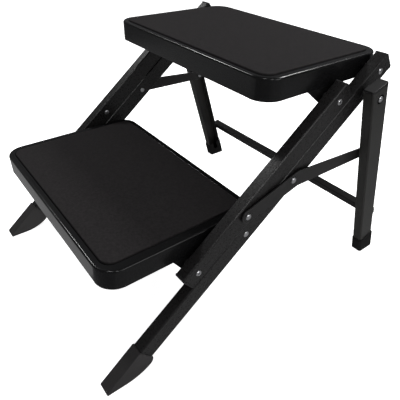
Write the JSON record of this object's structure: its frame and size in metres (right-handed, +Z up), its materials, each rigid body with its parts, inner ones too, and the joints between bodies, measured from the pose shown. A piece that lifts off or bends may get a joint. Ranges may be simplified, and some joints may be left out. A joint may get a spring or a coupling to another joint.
{
  "type": "folding step stool",
  "caption": "Folding steel step stool with two rectangular mat-topped treads on sloping side frames; treads, levers and rear legs fold together into a flat pack.",
  "frame": {"origin": "on the floor, midway between the sides and midway between the front toes and the back of the rear feet", "axes": "+X to the user's right when climbing, +Y to the back, +Z up"},
  "size_m": [0.5228, 0.6139, 0.4132],
  "materials": {
    "tube_coat": "satin black powder coat",
    "leg_coat": "satin black powder coat",
    "tread_coat": "gloss black powder coat",
    "lever_coat": "satin black powder coat",
    "mat": "matte charcoal, fine grain",
    "rivet_steel": "zinc plated, satin",
    "washer_steel": "dark plated",
    "nylon": "moulded black nylon",
    "foot_plastic": "moulded, fine grain",
    "foot_rubber": "moulded rubber"
  },
  "bodies": {
    "stringers": {"stringer_right": "tube_coat", "stringer_left": "tube_coat", "stringer_top_plug_right": "foot_plastic", "stringer_top_plug_left": "foot_plastic", "front_foot_right": "foot_plastic", "front_foot_left": "foot_plastic", "lower_rear_pivot_rivets": "rivet_steel", "lower_rear_pivot_spacers": "nylon", "upper_rear_pivot_rivets": "rivet_steel", "upper_rear_pivot_spacers": "nylon", "lever_centre_rivets": "rivet_steel", "lever_centre_washers": "washer_steel", "leg_pivot_rivets": "rivet_steel", "leg_pivot_spacers": "nylon"},
    "upper_tread": {"upper_tread_pan": "tread_coat", "upper_tread_mat": "mat", "upper_tread_bracket_right": "lever_coat", "upper_tread_bracket_left": "lever_coat"},
    "lower_tread": {"lower_tread_pan": "tread_coat", "lower_tread_mat": "mat", "lower_tread_bracket_right": "lever_coat", "lower_tread_bracket_left": "lever_coat"},
    "link_rails": {"link_rail_right": "tube_coat", "link_rail_left": "tube_coat", "link_rail_plugs": "foot_plastic", "lower_front_pivot_rivets": "rivet_steel", "lower_front_pivot_spacers": "nylon", "upper_front_pivot_rivets": "rivet_steel", "upper_front_pivot_spacers": "nylon", "lever_front_rivets": "rivet_steel", "lever_front_washers": "washer_steel"},
    "levers": {"fold_lever_right": "lever_coat", "fold_lever_left": "lever_coat", "roller_pins": "rivet_steel"},
    "leg_rollers": {"leg_rollers": "nylon"},
    "rear_legs": {"rear_leg_right": "leg_coat", "rear_leg_left": "leg_coat", "rear_leg_cap_right": "foot_plastic", "rear_leg_cap_left": "foot_plastic", "rear_foot_right": "foot_rubber", "rear_foot_left": "foot_rubber", "rear_crossbar": "leg_coat", "crossbar_plugs": "foot_plastic"}
  },
  "joints": [
    {"name": "upper_tread_fold", "type": "hinge", "parent": "stringers", "child": "upper_tread", "pos_m": [0, 0.20416, 0.38799], "axis": [-1, 0, 0], "range_deg": [0, 136]},
    {"name": "lower_tread_fold", "type": "hinge", "parent": "stringers", "child": "lower_tread", "pos_m": [0, -0.05178, 0.18622], "axis": [-1, 0, 0], "range_deg": [0, 136]},
    {"name": "lever_fold", "type": "hinge", "parent": "stringers", "child": "levers", "pos_m": [0, 0.03367, 0.25358], "axis": [-1, 0, 0], "range_deg": [0, 136]},
    {"name": "rail_lift", "type": "hinge", "parent": "upper_tread", "child": "link_rails", "pos_m": [0, 0.11458, 0.3585], "axis": [-1, 0, 0], "range_deg": [-136, 0]},
    {"name": "rear_leg_fold", "type": "hinge", "parent": "stringers", "child": "rear_legs", "pos_m": [0, 0.17364, 0.35944], "axis": [-1, 0, 0], "range_deg": [0, 68]},
    {"name": "roller_spin", "type": "hinge", "parent": "levers", "child": "leg_rollers", "pos_m": [0, 0.20902, 0.24654], "axis": [1, 0, 0], "continuous": true}
  ],
  "couplings": [
    {"joint": "lower_tread_fold", "follows": "upper_tread_fold", "ratio": 1},
    {"joint": "lever_fold", "follows": "upper_tread_fold", "ratio": 1},
    {"joint": "rail_lift", "follows": "upper_tread_fold", "ratio": -1},
    {"joint": "rear_leg_fold", "follows": "upper_tread_fold", "ratio": 0.5}
  ]
}
